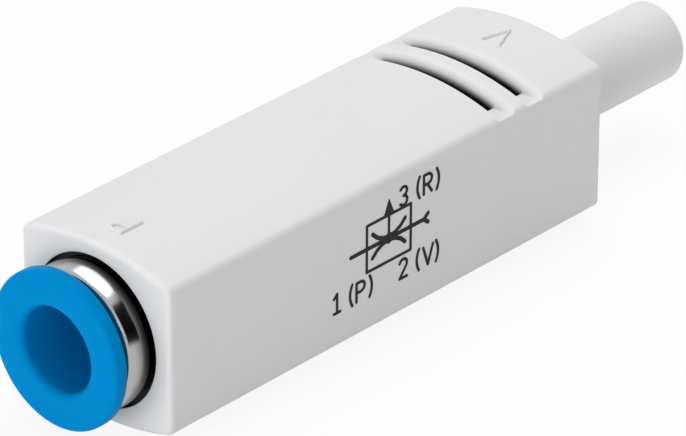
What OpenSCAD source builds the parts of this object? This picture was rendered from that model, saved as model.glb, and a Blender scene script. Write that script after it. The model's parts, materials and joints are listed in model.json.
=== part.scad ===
// Inline vacuum ejector: compressed air enters the push-in fitting at the front, a jet nozzle and a
// receiver nozzle draw the vacuum, and the air leaves by two gill slots across the top. The vacuum
// port is a plain spigot at the rear, in line with the front port.
// Frame: +Y from the supply end to the vacuum end, on the axis of both ports; +Z up, out of the
// slots; Y = 0 is the housing's front face.

/* [Tube] */
// Outside diameter of the air tube that both ports are made for
tube_d = 6; // [5.5:0.5:8]
// Radial clearance of the tube in the release ring
tube_clearance = 0.1; // [0.05:0.05:0.2]
// Radial clearance of the tube in its pocket behind the seal
pocket_clearance = 0.15; // [0.05:0.05:0.25]
// Depth of the tube pocket between the seal's bore and the jet nozzle
pocket_length = 2.6; // [1:0.2:6]

/* [Housing] */
// Plastic left beside the front recess, at the flat sides
side_wall = 1.24; // [1:0.02:3]
// Plastic left above and below the front recess
top_wall = 1.04; // [0.8:0.02:3]
// Rise of the crowned top and bottom over the side edges
crown_rise = 1.15; // [0.6:0.05:1.6]
// Radius of the four long edges
edge_radius = 1; // [0.5:0.1:1.4]
// Radius of the edges around both end faces
end_radius = 0.4; // [0.1:0.05:0.6]
// Depth of the shallow recess around the sleeve's collar
recess_depth = 0.6; // [0.2:0.1:1.2]
// Radial gap between the recess and the sleeve's collar
recess_gap = 0.26; // [0.1:0.02:0.5]
// Wall between the air bores and the vacuum channel below them
channel_wall = 0.75; // [0.5:0.05:1]
// Diameter of the vacuum channel
channel_d = 2.1; // [1:0.1:2.4]
// Wall between the last slot and the vacuum port's chamber
rear_wall = 1.55; // [1:0.05:3]
// Length of the chamber behind the spigot's collar
port_chamber_length = 1.8; // [1:0.1:4]

/* [Exhaust slots] */
// Number of slots across the top
slot_count = 2; // [1:1:4]
// Width of a slot along the housing
slot_width = 1.5; // [0.8:0.1:2.2]
// Distance from one slot to the next
slot_pitch = 2.95; // [2.6:0.05:5]
// Plastic left beside the slots' shafts
slot_side_wall = 1.83; // [1.3:0.01:3]
// How far the slots' floor runs out below the side edges
slot_runout = 0.2; // [0.05:0.05:0.5]
// Radius that leads the air out over a slot's rear edge
slot_lead_radius = 0.75; // [0.2:0.05:0.9]

/* [Push-in sleeve] */
// How far the sleeve stands out of the housing
sleeve_proud = 2.05; // [1.5:0.05:4]
// Thickness of the sleeve's front lip along the axis
lip_length = 0.9; // [0.5:0.05:1.2]
// Depth of the step inside the lip that holds the release ring's bead
snap_depth = 0.37; // [0.2:0.01:0.6]
// Depth of the step that the claw seats on
claw_step = 0.4; // [0.2:0.05:0.8]
// Wall of the sleeve around the claw
sleeve_wall = 0.35; // [0.25:0.05:0.8]
// Step from the sleeve's body out to its collar
collar_step = 0.2; // [0.1:0.05:0.4]
// How much narrower the collar is at its front
collar_taper = 0.25; // [0:0.05:0.35]
// Height of the sleeve's barbs, which touch the housing
barb_height = 0.05; // [0.02:0.01:0.1]

/* [Release ring] */
// Wall of the release ring's shank
ring_wall = 0.8; // [0.6:0.05:1.2]
// Radial sliding clearance of the shank in the sleeve's lip
ring_clearance = 0.08; // [0.04:0.01:0.15]
// Radial clearance around the release ring's bead
bead_clearance = 0.1; // [0.05:0.01:0.15]
// Travel of the release ring
ring_travel = 0.6; // [0.3:0.05:1]
// Gap left behind the flange when the ring is pressed in
ring_stop_gap = 0.05; // [0.02:0.01:0.2]
// How far the flange stands out past the sleeve's collar
flange_overhang = 0.45; // [0.1:0.05:1.5]
// Thickness of the flange
flange_thickness = 1.2; // [0.9:0.05:2]
// Radius of the ring's mouth
mouth_radius = 0.6; // [0.2:0.05:0.7]
// Clearance between the bead and the back of the sleeve's lip
bead_gap = 0.02; // [0.01:0.01:0.1]
// Number of slits that let the bead snap in
slit_count = 2; // [2:1:4]
// Turn of the first slit about the axis, from the top towards the right side
slit_turn = 140; // [0:5:180]
// Width of the slits in the shank
slit_width = 0.7; // [0.4:0.05:1]

/* [Claw and seal] */
// Distance of the claw from the housing's front face
claw_depth = 4.9; // [4:0.1:8]
// Thickness of the claw's sheet
claw_thickness = 0.25; // [0.15:0.05:0.4]
// Number of fingers
claw_fingers = 8; // [6:1:12]
// How far the fingers bite inside the tube's radius
claw_bite = 0.1; // [0.05:0.05:0.3]
// Length of the fingers along the axis
claw_reach = 1.1; // [0.8:0.05:1.3]
// Clearance of the claw and its support ring in the sleeve
claw_play = 0.05; // [0.02:0.01:0.1]
// Room behind the fingers' tips
finger_room = 0.1; // [0.05:0.05:0.5]
// Gap between the release ring's nose and the fingers, less than the ring's travel
nose_gap = 0.15; // [0.05:0.05:0.25]
// Width of the slots between the fingers
finger_slot = 0.45; // [0.2:0.05:0.6]
// Length of the support ring's guide behind the fingers
guide_length = 0.25; // [0.2:0.05:2]
// Length of the tube seal
seal_length = 1.4; // [1:0.1:3]
// Room left before and behind the seal
seal_play = 0.15; // [0.05:0.05:0.4]
// How much smaller than the tube the seal's bore is, in radius
seal_squeeze = 0.1; // [0.05:0.05:0.3]

/* [Nozzles] */
// Throat diameter of the jet nozzle
jet_throat_d = 0.7; // [0.4:0.05:1.4]
// Length of the jet nozzle's body
jet_body_length = 6.1; // [4.5:0.1:10]
// Length of the jet nozzle's tip, which stands in the suction chamber
jet_tip_length = 2.4; // [1:0.1:4]
// Wall of the jet nozzle around its mouth
jet_rim = 1.12; // [0.9:0.02:1.5]
// Outside diameter of the jet nozzle's tip at its end
jet_tip_d = 2; // [1.6:0.1:2.6]
// Step that the jet nozzle seats on
jet_step = 0.25; // [0.2:0.05:0.3]
// Length of the seat between that step and the vacuum channel
jet_seat_length = 0.8; // [0.5:0.1:2]
// Gap between the jet nozzle and the receiver nozzle
jet_gap = 1.2; // [0.4:0.1:3]
// Outside diameter of the receiver nozzle
receiver_d = 3.74; // [3.2:0.02:3.9]
// Throat diameter of the receiver nozzle
receiver_throat_d = 1.3; // [0.8:0.05:1.6]
// Bore of the receiver nozzle at its outlet
receiver_outlet_d = 2.6; // [2:0.1:2.8]
// Length of the receiver nozzle
receiver_length = 11; // [8:0.5:20]
// How far the receiver nozzle stands into the suction chamber
receiver_nose = 0.7; // [0.2:0.1:2]
// Step that stops the receiver nozzle
receiver_step = 0.4; // [0.2:0.05:0.5]
// Wall between the receiver nozzle's stop and the first slot
receiver_stop = 1; // [0.5:0.1:3]
// Radial clearance of the nozzles in the housing
nozzle_clearance = 0.03; // [0.01:0.01:0.06]

/* [Sealing rings] */
// Cord diameter of the jet nozzle's O-ring
jet_ring_cord = 0.8; // [0.5:0.05:1]
// Cord diameter of the receiver nozzle's O-ring
receiver_ring_cord = 0.55; // [0.3:0.05:0.6]
// Cord diameter of the spigot's O-ring
spigot_ring_cord = 0.9; // [0.6:0.05:1.2]
// How much longer than its cord each O-ring's groove is
groove_play = 0.3; // [0.1:0.05:0.6]

/* [Vacuum spigot] */
// Length of the spigot outside the housing
spigot_length = 13.8; // [8:0.2:30]
// Bore of the spigot
spigot_bore_d = 4; // [2:0.1:4.4]
// Clearance of the spigot's collar in the port
collar_clearance = 0.02; // [0.01:0.01:0.05]
// Length of the collar inside the housing
spigot_collar_length = 2.8; // [2.4:0.1:6]
// Radius of the spigot's outer end
spigot_end_radius = 0.4; // [0.1:0.05:0.6]

/* [Markings] */
// Height of the raised letters over the crown
raised_height = 0.12; // [0.05:0.01:0.3]
// Height of a raised letter
raised_size = 2.2; // [1:0.1:3]
// Stroke of the raised letters
raised_stroke = 0.3; // [0.15:0.05:0.5]
// Distance of each raised letter from its end face
raised_margin = 2.1; // [1:0.1:4]
// Thickness of the printed port symbol
ink_thickness = 0.03; // [0.01:0.01:0.05]
// Stroke of the printed lines
ink_stroke = 0.22; // [0.1:0.02:0.3]
// Height of the printed figures
figure_size = 1.45; // [1:0.05:1.6]
// Size of the printed symbol, as the side of its box along the housing
symbol_size = 4.4; // [3:0.1:4.6]
// Height of the symbol's flow line over the ports' axis
symbol_height = 0.87; // [0:0.05:1]
// Distance of the symbol's centre from the middle of the housing, towards the front
symbol_shift = 0.3; // [-4:0.1:4]

/* [Hidden] */
$fn = 96;
glyph_fn = 8;
through = 1;
sliver = 0.001;

// Radii from the tube outwards
tube_r = tube_d / 2;
ring_bore_r = tube_r + tube_clearance;
shank_r = ring_bore_r + ring_wall;
lip_r = shank_r + ring_clearance;
cavity_r = lip_r + snap_depth;
bead_r = cavity_r - bead_clearance;
claw_seat_r = cavity_r + claw_step;
cartridge_r = claw_seat_r + sleeve_wall;
collar_r = cartridge_r + collar_step;
recess_r = collar_r + recess_gap;
flange_r = collar_r + flange_overhang;
pocket_r = tube_r + pocket_clearance;
chamber_r = pocket_r - jet_step;
jet_r = pocket_r - nozzle_clearance;
receiver_r = receiver_d / 2;
receiver_bore_r = receiver_r + nozzle_clearance;
exhaust_r = receiver_bore_r - receiver_step;
channel_r = channel_d / 2;
channel_z = -receiver_bore_r - channel_wall - channel_r;
port_r = max(cartridge_r, channel_r - channel_z + channel_wall / 2);

// The claw's fingers: a cone from the rim's root to the tips
claw_rim_r = claw_seat_r - claw_play;
claw_root_r = shank_r - claw_play;
claw_tip_r = tube_r - claw_bite;
finger_slope = (claw_root_r - claw_tip_r) / claw_reach;
finger_length = norm([claw_root_r - claw_tip_r, claw_reach]);
finger_back = claw_thickness * [claw_reach, claw_root_r - claw_tip_r] / finger_length;

// Stations along the ports' axis, from the front face
lip_y = -sleeve_proud;
cavity_y = lip_y + lip_length;
flange_back_y = lip_y - ring_travel - ring_stop_gap;
flange_front_y = flange_back_y - flange_thickness;
claw_back_y = claw_depth + claw_thickness;
finger_end_y = claw_back_y + claw_reach + finger_room;
support_end_y = finger_end_y + guide_length;
seal_y = support_end_y + seal_play;
cartridge_end_y = seal_y + seal_length + seal_play;
jet_y = cartridge_end_y + pocket_length;
jet_shoulder_y = jet_y + jet_body_length;
jet_tip_y = jet_shoulder_y + jet_tip_length;
receiver_y = jet_tip_y + jet_gap;
channel_y = jet_shoulder_y + jet_seat_length;
chamber_end_y = receiver_y + receiver_nose;
receiver_end_y = receiver_y + receiver_length;
slots_y = receiver_end_y + receiver_stop;
slots_end_y = slots_y + (slot_count - 1) * slot_pitch + slot_width;
port_chamber_y = slots_end_y + rear_wall;
spigot_y = port_chamber_y + port_chamber_length;
body_length = spigot_y + spigot_collar_length;
jet_ring_y = jet_y + jet_body_length / 2;
receiver_ring_y = (chamber_end_y + receiver_end_y) / 2;
spigot_ring_y = spigot_y + spigot_collar_length / 2;

// The housing's section
half_width = recess_r + side_wall;
half_height = recess_r + top_wall;
side_edge_z = half_height - crown_rise;
crown_r = (half_width * half_width + crown_rise * crown_rise) / (2 * crown_rise);
crown_centre_z = half_height - crown_r;
slot_floor_z = side_edge_z - slot_runout;
slot_half = half_width - slot_side_wall;

// Points on an arc about [x, y], from one angle to another
function arc(x, y, r, from, to, steps) =
  [for (i = [0:steps]) let (a = from + (to - from) * i / steps) [x + r * cos(a), y + r * sin(a)]];
function flipped(points, x, y) = [for (p = points) [p[0] * x, p[1] * y]];
function reversed(points) = [for (i = [len(points) - 1:-1:0]) points[i]];

// A quarter of the housing's section, drawn in by inset: one long edge and half of the crown
function quarter(inset) =
  let (
    x = half_width - edge_radius,
    z = crown_centre_z + sqrt(pow(crown_r - edge_radius, 2) - x * x),
    turn = atan2(z - crown_centre_z, x)
  )
  concat(
    arc(x, z, edge_radius - inset, 0, turn, 6),
    arc(0, crown_centre_z, crown_r - inset, turn + (90 - turn) / 10, 90, 9)
  );

function section(inset) =
  let (q = quarter(inset))
  concat(q, reversed(flipped(q, -1, 1)), flipped(q, -1, -1), reversed(flipped(q, 1, -1)));

// Turns a profile of [radius, station] points about the ports' axis
module turned(points) {
  rotate([-90, 0, 0]) rotate_extrude() polygon(points);
}

// A round bore along the ports' axis
module bore(r, from, to) {
  translate([0, from, 0]) rotate([-90, 0, 0]) cylinder(r = r, h = to - from);
}

// An O-ring that fills the space between its groove's floor and its bore
module o_ring(outer_r, cord, y) {
  translate([0, y, 0]) rotate([-90, 0, 0]) rotate_extrude()
    translate([outer_r - cord / 2, 0]) circle(d = cord, $fn = 32);
}

// The corners of that O-ring's groove, in a turned profile that runs along +Y
function groove(body_r, outer_r, cord, y) =
  let (half = (cord + groove_play) / 2)
  [[body_r, y - half], [outer_r - cord, y - half], [outer_r - cord, y + half], [body_r, y + half]];

// A stroke from one point to another with round ends
module stroke(from, to, w) {
  along = to - from;
  translate(from) rotate(atan2(along[1], along[0])) translate([0, -w / 2]) square([norm(along), w]);
  for (p = [from, to]) translate(p) circle(d = w, $fn = glyph_fn);
}

// Fills the sharp inner corners where strokes meet, as ink and a mould's cutter do
module blended(r) {
  offset(r = -r, $fn = glyph_fn) offset(r = r, $fn = glyph_fn) children();
}

module strokes(points, w) {
  for (i = [0:len(points) - 2]) stroke(points[i], points[i + 1], w);
}

// A curved stroke about a centre, from one angle to another
module bow(centre, r, from, to, w) {
  strokes(arc(centre[0], centre[1], r, from, to, 6), w);
}

// Letters and figures h tall, drawn from their lower left corner
module letter_p(h, w, straight = 0.3) {
  x = h * straight;
  strokes([[x, h * 0.48], [0, h * 0.48], [0, h], [x, h]], w);
  stroke([0, 0], [0, h * 0.48], w);
  bow([x, h * 0.74], h * 0.26, 90, -90, w);
}

module letter_r(h, w) {
  letter_p(h, w);
  stroke([h * 0.25, h * 0.48], [h * 0.56, 0], w);
}

module letter_v(h, w) {
  strokes([[0, h], [h * 0.34, 0], [h * 0.68, h]], w);
}

module figure_1(h, w) {
  strokes([[0, h * 0.78], [h * 0.22, h], [h * 0.22, 0]], w);
  stroke([0, 0], [h * 0.44, 0], w);
}

module figure_2(h, w) {
  bow([h * 0.26, h * 0.74], h * 0.26, 165, -35, w);
  strokes([[h * 0.473, h * 0.591], [0, 0], [h * 0.52, 0]], w);
}

module figure_3(h, w) {
  bow([h * 0.24, h * 0.76], h * 0.24, 150, -90, w);
  bow([h * 0.24, h * 0.26], h * 0.26, 90, -150, w);
}

// Brackets around a letter, a little taller than it is
module in_brackets(h, w) {
  r = h * 1.1;
  bow([r, h / 2], r, 149, 211, w);
  translate([h * 0.45, 0]) children();
  bow([h * 1.5 - r, h / 2], r, -31, 31, w);
}

// The standard symbol of an ejector, about its throat: box, flow line, venturi and exhaust arrow
module ejector_symbol(size, w) {
  half = size / 2;
  high = size * 0.405;
  throat = size * 0.03;
  bend = size * 0.47;
  bold = w * 1.4;
  strokes([[-half, -high], [half, -high], [half, high], [-half, high], [-half, -high]], w);
  stroke([-size * 0.86, 0], [size * 0.8, 0], bold);
  for (side = [-1, 1]) {
    stroke([size * 0.8, 0], [size * 0.9, side * size * 0.08], bold);
    bow([0, side * (throat + bend)], bend, side * -142, side * -38, bold);
  }
  polygon([[-size * 0.26, 0], [0, -size * 0.1], [size * 0.26, 0], [0, size * 0.1]]);
  stroke([0, 0], [0, size * 0.5], w);
  polygon([[-size * 0.11, size * 0.43], [size * 0.11, size * 0.43], [0, size * 0.69]]);
}

// A thin slice of the housing's section, in front of station y
module slice(y, inset) {
  translate([0, y, 0]) rotate([90, 0, 0]) linear_extrude(sliver) polygon(section(inset));
}

// The moulding's outside: a straight prism between two rounded ends
module body_block() {
  steps = 5;
  translate([0, body_length - end_radius, 0]) rotate([90, 0, 0])
    linear_extrude(body_length - 2 * end_radius) polygon(section(0));
  for (end = [0, 1]) translate([0, end * body_length, 0]) mirror([0, end, 0]) hull()
    for (i = [0:steps])
      slice(end_radius * (1 - cos(90 * i / steps)) + sliver, end_radius * (1 - sin(90 * i / steps)));
}

// One slot: a groove with a flat floor across the crown, the shaft below it, and the rounding of
// its rear edge, which is turned about the crown's own axis so that it follows the crown
module slot_cut() {
  crest = 0.06;
  lead_r = crown_r - slot_lead_radius + crest;
  wide = 2 * (half_width + through);
  high = crown_rise + slot_runout + through;
  translate([-wide / 2, 0, slot_floor_z]) cube([wide, slot_width, high]);
  translate([-slot_half, 0, -receiver_bore_r])
    cube([2 * slot_half, slot_width, slot_floor_z + receiver_bore_r + slot_runout / 2]);
  intersection() {
    translate([-wide / 2, slot_width / 2, slot_floor_z]) cube([wide, slot_width, high]);
    translate([0, slot_width, crown_centre_z]) turned(concat(
      arc(lead_r, slot_lead_radius, slot_lead_radius, -90, 0, 6),
      [[crown_r + 2 * through, slot_lead_radius], [crown_r + 2 * through, -slot_width], [lead_r, -slot_width]]
    ));
  }
}

// A letter raised out of the crown, its foot at station y and its top towards the front
module raised_letter(y) {
  translate([0, y, half_height - crown_rise / 2]) rotate(180)
    linear_extrude(crown_rise / 2 + raised_height) blended(raised_stroke / 4) children();
}

module housing() {
  window_half = channel_r * 0.7;
  color([0.83, 0.83, 0.82]) difference() {
    union() {
      body_block();
      raised_letter(raised_margin + raised_size)
        translate([-raised_size * 0.18, 0]) letter_p(raised_size, raised_stroke, 0.42);
      raised_letter(body_length - raised_margin)
        translate([-raised_size * 0.34, 0]) letter_v(raised_size, raised_stroke);
    }
    bore(recess_r, -through, recess_depth);
    bore(cartridge_r, 0, cartridge_end_y);
    bore(pocket_r, 0, jet_shoulder_y);
    bore(chamber_r, 0, chamber_end_y);
    bore(receiver_bore_r, 0, receiver_end_y);
    bore(exhaust_r, 0, slots_end_y);
    for (i = [0:slot_count - 1]) translate([0, slots_y + i * slot_pitch, 0]) slot_cut();
    bore(port_r, port_chamber_y, body_length + through);
    translate([0, 0, channel_z]) bore(channel_r, channel_y, port_chamber_y + through);
    // The window from the suction chamber down into the vacuum channel
    translate([-window_half, channel_y, channel_z])
      cube([2 * window_half, chamber_end_y - channel_y, -channel_z]);
  }
}

// Black print on the housing's right side: the symbol with a port's number and letter by each port
module port_marking() {
  row = symbol_size * 0.405 + figure_size * 0.1;
  low_row = -row - figure_size * 1.2;
  column = symbol_size * 0.25;
  color([0.08, 0.08, 0.09])
    translate([half_width, body_length / 2 - symbol_shift, symbol_height]) rotate([90, 0, 90])
      linear_extrude(ink_thickness) blended(ink_stroke / 10) {
        ejector_symbol(symbol_size, ink_stroke);
        translate([column, row]) figure_3(figure_size, ink_stroke);
        translate([column + figure_size * 1.2, row])
          in_brackets(figure_size, ink_stroke) letter_r(figure_size, ink_stroke);
        translate([column, low_row]) figure_2(figure_size, ink_stroke);
        translate([column + figure_size * 1.2, low_row])
          in_brackets(figure_size, ink_stroke) letter_v(figure_size, ink_stroke);
        translate([-column - figure_size * 3, low_row]) figure_1(figure_size, ink_stroke);
        translate([-column - figure_size * 1.9, low_row])
          in_brackets(figure_size, ink_stroke) letter_p(figure_size, ink_stroke);
      }
}

// Nickel-plated brass sleeve, with a rolled lip in front and barbs along its body
module cartridge_sleeve() {
  roll = 0.3;
  lead = 0.15;
  barb_pitch = 1.2;
  body_r = cartridge_r - barb_height;
  barbs = [
    for (y = [recess_depth + barb_pitch:barb_pitch:support_end_y - barb_pitch])
      each [[body_r, y], [cartridge_r, y], [body_r, y + barb_pitch / 2]]
  ];
  color([0.80, 0.79, 0.76]) turned(concat(
    [[lip_r, lip_y + lead], [lip_r + lead, lip_y]],
    arc(collar_r - collar_taper - roll, lip_y + roll, roll, -90, 0, 6),
    [[collar_r, 0], [collar_r, recess_depth], [body_r, recess_depth]],
    barbs,
    [[body_r, support_end_y], [claw_seat_r, support_end_y], [claw_seat_r, claw_depth]],
    [[cavity_r, claw_depth], [cavity_r, cavity_y], [lip_r, cavity_y]]
  ));
}

// Blue ring: a flange in front, and a slit shank with a bead that snaps in behind the lip
module release_ring() {
  edge = 0.3;
  bead_land = 0.3;
  bead_lead = 0.6;
  nose_taper = 0.5;
  nose_r = ring_bore_r + ring_wall / 2;
  bead_y = cavity_y + bead_gap;
  nose_y = claw_depth + (claw_root_r - nose_r) / finger_slope - nose_gap;
  color([0.0, 0.55, 0.82]) difference() {
    turned(concat(
      arc(ring_bore_r + mouth_radius, flange_front_y + mouth_radius, mouth_radius, 180, 270, 6),
      arc(flange_r - edge, flange_front_y + edge, edge, -90, 0, 6),
      arc(flange_r - edge, flange_back_y - edge, edge, 0, 90, 6),
      [[shank_r, flange_back_y], [shank_r, bead_y], [bead_r, bead_y], [bead_r, bead_y + bead_land]],
      [[shank_r, bead_y + bead_land + bead_lead], [shank_r, nose_y - 2 * nose_taper]],
      [[nose_r, nose_y - nose_taper], [nose_r, nose_y], [ring_bore_r, nose_y]]
    ));
    for (i = [0:slit_count - 1]) rotate([0, slit_turn + 360 * i / slit_count, 0])
      translate([-slit_width / 2, bead_y, 0])
        cube([slit_width, nose_y - bead_y + through, cavity_r]);
  }
}

// Stainless ring whose fingers lean into the tube, so that a pull makes them bite
module retaining_claw() {
  back_r = claw_root_r + finger_back[0] - (claw_thickness - finger_back[1]) * finger_slope;
  color([0.70, 0.70, 0.72]) difference() {
    turned([
      [claw_root_r, claw_depth], [claw_rim_r, claw_depth], [claw_rim_r, claw_back_y],
      [back_r, claw_back_y], [claw_tip_r, claw_depth + claw_reach] + finger_back,
      [claw_tip_r, claw_depth + claw_reach]
    ]);
    for (i = [0:claw_fingers - 1]) rotate([0, 360 * i / claw_fingers, 0])
      translate([-finger_slot / 2, claw_depth - through, 0])
        cube([finger_slot, claw_reach + 2 * through, claw_root_r + finger_slot / 2]);
  }
}

// Plastic ring that clamps the claw's rim and guides the tube behind the fingers
module claw_support_ring() {
  mouth_r = claw_root_r + finger_back[0] + 2 * finger_room;
  color([0.20, 0.20, 0.21]) turned([
    [mouth_r, claw_back_y], [claw_rim_r, claw_back_y], [claw_rim_r, support_end_y],
    [pocket_r, support_end_y], [pocket_r, finger_end_y]
  ]);
}

// Rubber ring with rounded edges, tight on the tube and in the housing's bore
module tube_seal() {
  edge = 0.3;
  inner_r = tube_r - seal_squeeze;
  end_y = seal_y + seal_length;
  color([0.07, 0.07, 0.07]) turned(concat(
    arc(inner_r + edge, seal_y + edge, edge, 180, 270, 4),
    arc(cartridge_r - edge, seal_y + edge, edge, 270, 360, 4),
    arc(cartridge_r - edge, end_y - edge, edge, 0, 90, 4),
    arc(inner_r + edge, end_y - edge, edge, 90, 180, 4)
  ));
}

// Turned aluminium nozzle: its rear face stops the tube, its tip aims at the receiver nozzle
module jet_nozzle() {
  throat_r = jet_throat_d / 2;
  throat_half = 0.4;
  flare = 0.2;
  chamfer = 0.15;
  tip_r = jet_tip_d / 2;
  color([0.78, 0.79, 0.80]) turned(concat(
    [[jet_r - jet_rim, jet_y], [jet_r, jet_y]],
    groove(jet_r, pocket_r, jet_ring_cord, jet_ring_y),
    [[jet_r, jet_shoulder_y], [chamber_r - jet_step * 2, jet_shoulder_y]],
    [[tip_r, jet_tip_y - chamfer], [tip_r - chamfer, jet_tip_y], [throat_r + flare, jet_tip_y]],
    [[throat_r, jet_shoulder_y + throat_half], [throat_r, jet_shoulder_y - throat_half]]
  ));
}

module jet_nozzle_o_ring() {
  color([0.07, 0.07, 0.07]) o_ring(pocket_r, jet_ring_cord, jet_ring_y);
}

// Moulded nozzle: a bell mouth, a short throat and a long diffuser
module receiver_nozzle() {
  throat_r = receiver_throat_d / 2;
  throat_length = 2;
  bell = 0.3;
  color([0.16, 0.16, 0.17]) turned(concat(
    [[receiver_r - bell, receiver_y], [receiver_r, receiver_y + bell]],
    groove(receiver_r, receiver_bore_r, receiver_ring_cord, receiver_ring_y),
    [[receiver_r, receiver_end_y], [receiver_outlet_d / 2, receiver_end_y]],
    [[throat_r, receiver_y + 2 * throat_length], [throat_r, receiver_y + throat_length]]
  ));
}

module receiver_nozzle_o_ring() {
  color([0.07, 0.07, 0.07]) o_ring(receiver_bore_r, receiver_ring_cord, receiver_ring_y);
}

// Grey insert: a collar in the housing's rear port and a plain spigot of the tube's diameter
module vacuum_spigot() {
  lead = 0.5;
  bore_r = spigot_bore_d / 2;
  spigot_collar_r = port_r - collar_clearance;
  end_y = body_length + spigot_length;
  color([0.81, 0.81, 0.80]) turned(concat(
    [[bore_r + lead, spigot_y], [spigot_collar_r, spigot_y]],
    groove(spigot_collar_r, port_r, spigot_ring_cord, spigot_ring_y),
    [[spigot_collar_r, body_length], [tube_r, body_length]],
    arc(tube_r - spigot_end_radius, end_y - spigot_end_radius, spigot_end_radius, 0, 90, 5),
    [[bore_r, end_y], [bore_r, spigot_y + lead]]
  ));
}

module spigot_o_ring() {
  color([0.07, 0.07, 0.07]) o_ring(port_r, spigot_ring_cord, spigot_ring_y);
}

housing();
port_marking();
cartridge_sleeve();
release_ring();
retaining_claw();
claw_support_ring();
tube_seal();
jet_nozzle();
jet_nozzle_o_ring();
receiver_nozzle();
receiver_nozzle_o_ring();
vacuum_spigot();
spigot_o_ring();
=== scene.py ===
# %% [markdown]
# # A vacuum ejector, dressed around its construction model
#
# The real object is a small pneumatic part, 61 mm long. Compressed air enters by the push-in
# fitting with the blue ring, rushes through a fine nozzle and leaves by two slots across the top.
# On its way it drags air out of the plain spigot at the other end, which is where a suction cup is
# connected.
#
# The construction model already holds every piece at its real size. This lesson gives the pieces
# their finish, and models again the ones whose soft edges a construction model leaves out.
# Everything is modelled in millimetres and scaled to metres once, at the end of each piece.

# %% Clear the stage and load the construction model
import json
from math import asin, cos, pi, radians, sin, sqrt, tan

import bmesh
import bpy
from mathutils import Matrix, Vector

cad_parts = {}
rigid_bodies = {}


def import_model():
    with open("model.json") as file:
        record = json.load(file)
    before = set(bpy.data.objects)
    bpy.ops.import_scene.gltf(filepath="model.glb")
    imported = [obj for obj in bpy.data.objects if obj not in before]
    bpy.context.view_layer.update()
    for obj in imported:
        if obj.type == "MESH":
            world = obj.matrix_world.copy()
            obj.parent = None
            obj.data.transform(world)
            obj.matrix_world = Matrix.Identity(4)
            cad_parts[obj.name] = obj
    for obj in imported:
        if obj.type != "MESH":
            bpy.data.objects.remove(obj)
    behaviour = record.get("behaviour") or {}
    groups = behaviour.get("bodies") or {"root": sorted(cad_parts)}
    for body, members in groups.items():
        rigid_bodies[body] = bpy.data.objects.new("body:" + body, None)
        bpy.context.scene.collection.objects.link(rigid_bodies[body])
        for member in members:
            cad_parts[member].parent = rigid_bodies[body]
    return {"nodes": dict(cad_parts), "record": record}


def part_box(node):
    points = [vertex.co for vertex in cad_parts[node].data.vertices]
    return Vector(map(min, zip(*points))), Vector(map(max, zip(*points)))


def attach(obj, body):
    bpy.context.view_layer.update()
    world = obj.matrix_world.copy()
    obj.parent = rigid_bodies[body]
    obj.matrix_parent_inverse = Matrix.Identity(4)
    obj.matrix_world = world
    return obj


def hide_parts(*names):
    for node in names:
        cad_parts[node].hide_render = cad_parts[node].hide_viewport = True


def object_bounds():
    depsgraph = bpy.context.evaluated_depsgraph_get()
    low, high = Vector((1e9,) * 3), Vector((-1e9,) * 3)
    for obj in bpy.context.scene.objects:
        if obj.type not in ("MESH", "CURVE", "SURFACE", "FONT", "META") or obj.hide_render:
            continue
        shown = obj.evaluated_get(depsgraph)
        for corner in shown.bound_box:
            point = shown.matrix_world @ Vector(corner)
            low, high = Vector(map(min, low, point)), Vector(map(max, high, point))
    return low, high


for stray in [o for o in bpy.data.objects if o.name in ("Cube", "Light", "Camera")]:
    bpy.data.objects.remove(stray)
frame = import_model()
cad_low, cad_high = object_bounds()

MM = 0.001


def box_mm(node):
    """Lowest and highest corner of a construction node, in millimetres."""
    low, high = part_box(node)
    return low / MM, high / MM


def mount_mm(name, key):
    """One dimension of a named mount, in millimetres."""
    return next(m["dims"][key] for m in frame["record"]["mounts"] if m["name"] == name)


print("pieces in the construction model:", len(frame["nodes"]))

# %% [markdown]
# ## Helpers for finishes
#
# Colours are written as the hex values that a paint program shows. Blender's shaders want linear
# light, so one function turns one into the other. A second one adds a shader node with its settings
# and its links in a single call, which keeps each recipe below short enough to read at a glance.


# %% Colour and shader node helpers
def linear(hex_colour, alpha=1.0):
    """A colour such as "#2A8FD0" as linear red, green, blue and alpha."""
    levels = [int(hex_colour[i:i + 2], 16) / 255 for i in (1, 3, 5)]
    return [v / 12.92 if v <= 0.04045 else ((v + 0.055) / 1.055) ** 2.4 for v in levels] + [alpha]


def add(tree, kind, settings=None, **inputs):
    """Adds a shader node with its own settings, and inputs that are values or other outputs.

    An input is called by its name with underscores for spaces, or by its number, such as _0.
    """
    node = tree.nodes.new("ShaderNode" + kind)
    for name, value in (settings or {}).items():
        setattr(node, name, value)
    for name, value in inputs.items():
        socket = node.inputs[int(name[1:]) if name[1:].isdigit() else name.replace("_", " ")]
        if isinstance(value, bpy.types.NodeSocket):
            tree.links.new(value, socket)
        else:
            socket.default_value = value
    return node


def new_material(name):
    """A material, its node tree, its Principled shader and where on the object a point is."""
    material = bpy.data.materials.new(name)
    material.use_nodes = True
    tree = material.node_tree
    tree.nodes.clear()
    shader = add(tree, "BsdfPrincipled")
    output = add(tree, "OutputMaterial")
    tree.links.new(shader.outputs["BSDF"], output.inputs["Surface"])
    place = add(tree, "TexCoord").outputs["Object"]
    return material, tree, shader, place


def set_inputs(shader, **inputs):
    """Sets inputs of a shader to fixed values."""
    for name, value in inputs.items():
        shader.inputs[name.replace("_", " ")].default_value = value


# %% [markdown]
# ## Moulded plastic
#
# The housing and the spigot are injection moulded in a light grey engineering plastic. The steel
# mould was spark eroded, so the surface carries a very fine, even grain that spreads the highlights
# and shows no reflections. The grain of the real mould is about 0.05 mm, too fine to see from an
# arm's length, so it is drawn a little coarser here: 0.12 mm. A second, broad and faint variation
# in colour stands for the way that plastic flows and cools.


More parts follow.
